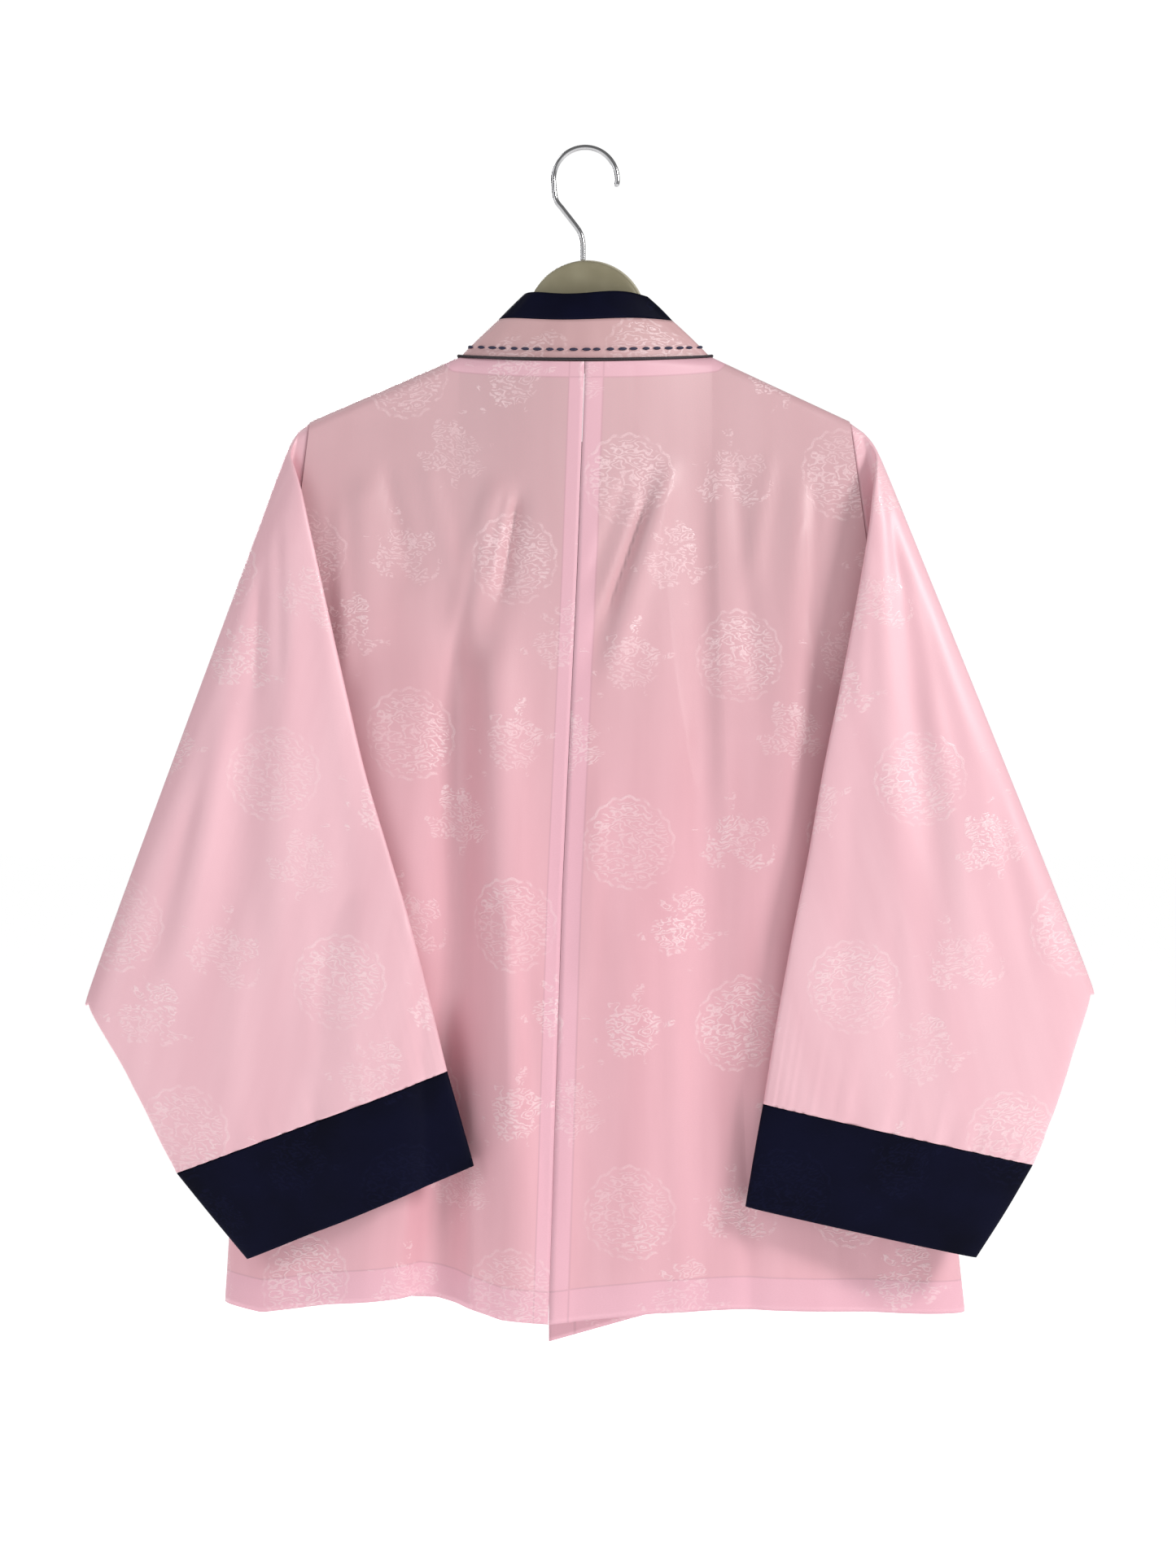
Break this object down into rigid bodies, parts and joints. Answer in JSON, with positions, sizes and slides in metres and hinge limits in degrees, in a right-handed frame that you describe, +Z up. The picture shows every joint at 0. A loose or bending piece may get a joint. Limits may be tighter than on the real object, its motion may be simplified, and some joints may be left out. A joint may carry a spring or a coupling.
{
  "type": "hanbok jacket on a coat hanger",
  "caption": "Short Korean jacket with wide sleeves, dark cuffs and a dark-edged collar, hanging on a coat hanger by its hook.",
  "frame": {"origin": "the point inside the top of the hanger's hook, where a rail carries it", "axes": "+Z up, the jacket's front faces +Y and its back faces -Y, +X is to the right of someone who looks at its back"},
  "size_m": [0.7444, 0.1136, 0.9088],
  "materials": {
    "pink_brocade": "pale pink silk brocade with tone on tone round motifs",
    "navy_satin": "dark navy satin",
    "hanger_plastic": "satin grey-beige",
    "hook_chrome": "polished"
  },
  "bodies": {
    "root": {"back_left": "pink_brocade", "back_right": "pink_brocade", "front_left": "pink_brocade", "front_right": "pink_brocade", "sleeve_left": "pink_brocade", "sleeve_right": "pink_brocade", "cuff_left": "navy_satin", "cuff_right": "navy_satin", "collar_band": "pink_brocade", "collar_edge": "navy_satin", "collar_piping": "navy_satin", "hanger_body": "hanger_plastic", "hanger_hook": "hook_chrome"}
  },
  "joints": []
}
